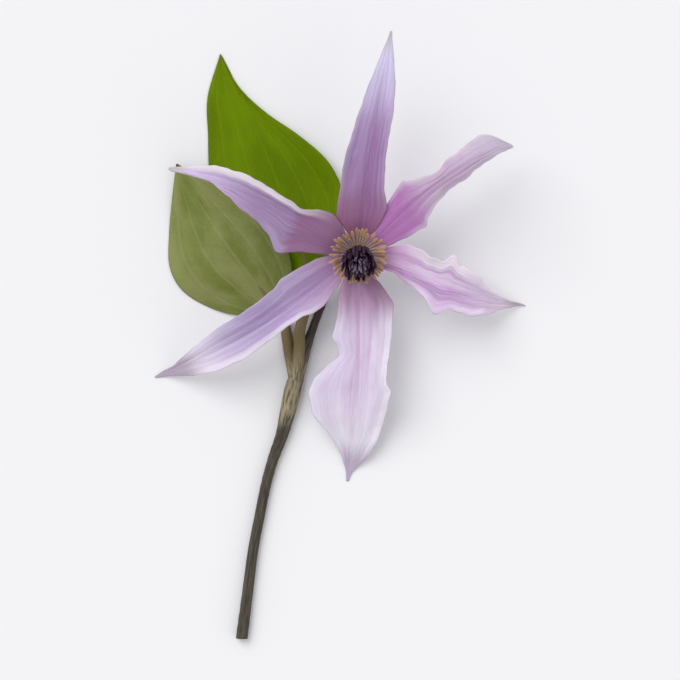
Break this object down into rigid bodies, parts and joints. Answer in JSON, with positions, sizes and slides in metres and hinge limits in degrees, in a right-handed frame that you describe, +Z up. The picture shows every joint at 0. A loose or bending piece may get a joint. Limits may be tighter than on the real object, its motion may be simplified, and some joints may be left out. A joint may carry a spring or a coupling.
{
  "type": "clematis flower",
  "caption": "Open clematis flower with pointed lilac sepals, a dark centre ringed by tan stamens, a slender stalk and a pair of leaves, picked and lying face up.",
  "frame": {"origin": "centre of the bounding box, on the table that the flower lies on", "axes": "+Z up, the way the flower faces; -Y towards the stalk's cut end; +X to the right seen from above"},
  "size_m": [0.0708, 0.1136, 0.0206],
  "materials": {
    "sepal": "soft satin lilac with fine veins",
    "pollen_anther": "dull powdery tan",
    "dark_anther": "dark purple, dull",
    "style": "finely hairy grey purple",
    "receptacle": "dull yellow green",
    "stalk": "brown green, slightly shiny",
    "leaf_upper_side": "bright green, satin",
    "leaf_under_side": "grey green, matte"
  },
  "bodies": {
    "root": {"sepal_top": "sepal", "sepal_upper_right": "sepal", "sepal_right": "sepal", "sepal_bottom": "sepal", "sepal_lower_left": "sepal", "sepal_upper_left": "sepal", "receptacle": "receptacle", "outer_stamen_01": "pollen_anther", "outer_stamen_02": "pollen_anther", "outer_stamen_03": "pollen_anther", "outer_stamen_04": "pollen_anther", "outer_stamen_05": "pollen_anther", "outer_stamen_06": "pollen_anther", "outer_stamen_07": "pollen_anther", "outer_stamen_08": "pollen_anther", "outer_stamen_09": "pollen_anther", "outer_stamen_10": "pollen_anther", "outer_stamen_11": "pollen_anther", "outer_stamen_12": "pollen_anther", "outer_stamen_13": "pollen_anther", "outer_stamen_14": "pollen_anther", "outer_stamen_15": "pollen_anther", "outer_stamen_16": "pollen_anther", "outer_stamen_17": "pollen_anther", "outer_stamen_18": "pollen_anther", "outer_stamen_19": "pollen_anther", "outer_stamen_20": "pollen_anther", "middle_stamen_01": "dark_anther", "middle_stamen_02": "dark_anther", "middle_stamen_03": "dark_anther", "middle_stamen_04": "dark_anther", "middle_stamen_05": "dark_anther", "middle_stamen_06": "dark_anther", "middle_stamen_07": "dark_anther", "middle_stamen_08": "dark_anther", "middle_stamen_09": "dark_anther", "middle_stamen_10": "dark_anther", "middle_stamen_11": "dark_anther", "middle_stamen_12": "dark_anther", "middle_stamen_13": "dark_anther", "middle_stamen_14": "dark_anther", "inner_stamen_01": "dark_anther", "inner_stamen_02": "dark_anther", "inner_stamen_03": "dark_anther", "inner_stamen_04": "dark_anther", "inner_stamen_05": "dark_anther", "inner_stamen_06": "dark_anther", "inner_stamen_07": "dark_anther", "inner_stamen_08": "dark_anther", "inner_stamen_09": "dark_anther", "inner_stamen_10": "dark_anther", "style_01": "style", "style_02": "style", "style_03": "style", "style_04": "style", "style_05": "style", "stalk": "stalk", "leaf_right": "leaf_upper_side", "leaf_left": "leaf_under_side"}
  },
  "joints": []
}
